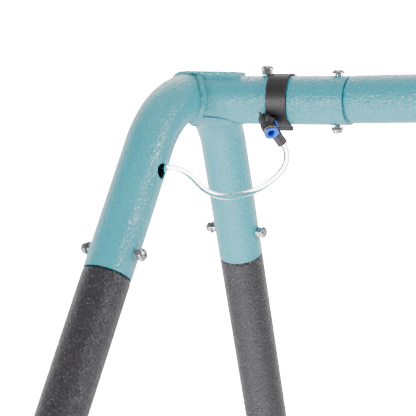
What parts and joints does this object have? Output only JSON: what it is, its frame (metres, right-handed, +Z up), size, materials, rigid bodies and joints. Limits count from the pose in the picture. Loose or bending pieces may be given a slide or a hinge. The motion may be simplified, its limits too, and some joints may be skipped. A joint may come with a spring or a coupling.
{
  "type": "hammock on stand",
  "caption": "Sling hammock hung from a tubular A-frame stand with bent apex tubes, swaged bolted joints and a clipped misting line at one end.",
  "frame": {"origin": "on the ground under the middle of the top beam", "axes": "+X along the top beam, +Y from the front legs to the rear legs, +Z up"},
  "size_m": [2.5766, 1.9952, 1.7845],
  "materials": {
    "teal": "hammered powder coat",
    "charcoal": "textured powder coat",
    "zinc": "bright zinc plate",
    "rubber": "matt",
    "wood": "oiled",
    "rope": "laid rope",
    "cloth": "woven",
    "black_plastic": "moulded",
    "blue_plastic": "moulded",
    "brass": "turned",
    "sleeve_rubber": "satin",
    "clear_hose": "clear"
  },
  "bodies": {
    "frame": {"apex_bracket_left": "teal", "beam_half_left": "teal", "cross_brace_left": "charcoal", "leg_front_left": "charcoal", "foot_cap_front_left": "rubber", "leg_bolt_front_left": "zinc", "leg_bolt_front_left_nut": "zinc", "brace_bolt_front_left": "zinc", "leg_rear_left": "charcoal", "foot_cap_rear_left": "rubber", "leg_bolt_rear_left": "zinc", "leg_bolt_rear_left_nut": "zinc", "brace_bolt_rear_left": "zinc", "beam_bolt_inner_left": "zinc", "beam_bolt_inner_left_nut": "zinc", "beam_bolt_outer_left": "zinc", "beam_bolt_outer_left_nut": "zinc", "beam_eye_left": "zinc", "beam_eye_nut_left": "zinc", "apex_bracket_right": "teal", "beam_half_right": "teal", "cross_brace_right": "charcoal", "leg_front_right": "charcoal", "foot_cap_front_right": "rubber", "leg_bolt_front_right": "zinc", "leg_bolt_front_right_nut": "zinc", "brace_bolt_front_right": "zinc", "leg_rear_right": "charcoal", "foot_cap_rear_right": "rubber", "leg_bolt_rear_right": "zinc", "leg_bolt_rear_right_nut": "zinc", "brace_bolt_rear_right": "zinc", "beam_bolt_inner_right": "zinc", "beam_bolt_inner_right_nut": "zinc", "beam_bolt_outer_right": "zinc", "beam_bolt_outer_right_nut": "zinc", "beam_eye_right": "zinc", "beam_eye_nut_right": "zinc", "beam_centre_bolt": "zinc", "beam_centre_bolt_nut": "zinc", "mist_clip": "black_plastic", "fitting_body": "black_plastic", "brass_ring": "brass", "hose_sleeve": "sleeve_rubber", "mist_hose": "clear_hose", "hose_inlet": "black_plastic"},
    "hammock": {"snap_link_left": "zinc", "clew_ring_left": "zinc", "spreader_bar_left": "wood", "bridle_rope_left": "rope", "snap_link_right": "zinc", "clew_ring_right": "zinc", "spreader_bar_right": "wood", "bridle_rope_right": "rope", "sling_fabric": "cloth"},
    "gate_left": {"snap_gate_left": "zinc"},
    "gate_right": {"snap_gate_right": "zinc"},
    "collet_front": {"collet_front": "blue_plastic"},
    "collet_side": {"collet_side": "blue_plastic"}
  },
  "joints": [
    {"name": "hammock_swing", "type": "hinge", "parent": "frame", "child": "hammock", "pos_m": [0, 0, 1.6928], "axis": [1, 0, 0], "range_deg": [-40, 40]},
    {"name": "gate_left_open", "type": "hinge", "parent": "hammock", "child": "gate_left", "pos_m": [-0.77335, 0, 1.65703], "axis": [0, -1, 0], "range_deg": [0, 20], "stiffness_Nm_per_rad": 0.05, "springref_deg": -5.73},
    {"name": "gate_right_open", "type": "hinge", "parent": "hammock", "child": "gate_right", "pos_m": [0.77335, 0, 1.65703], "axis": [0, 1, 0], "range_deg": [0, 20], "stiffness_Nm_per_rad": 0.05, "springref_deg": -5.73},
    {"name": "collet_front_press", "type": "slide", "parent": "frame", "child": "collet_front", "axis": [-0.5449, 0.5429, 0.6389], "range_m": [0, 0.0008], "stiffness_N_per_m": 400, "springref_m": -0.001},
    {"name": "collet_side_press", "type": "slide", "parent": "frame", "child": "collet_side", "axis": [-0.832, -0.4486, -0.3262], "range_m": [0, 0.0008], "stiffness_N_per_m": 400, "springref_m": -0.001}
  ]
}
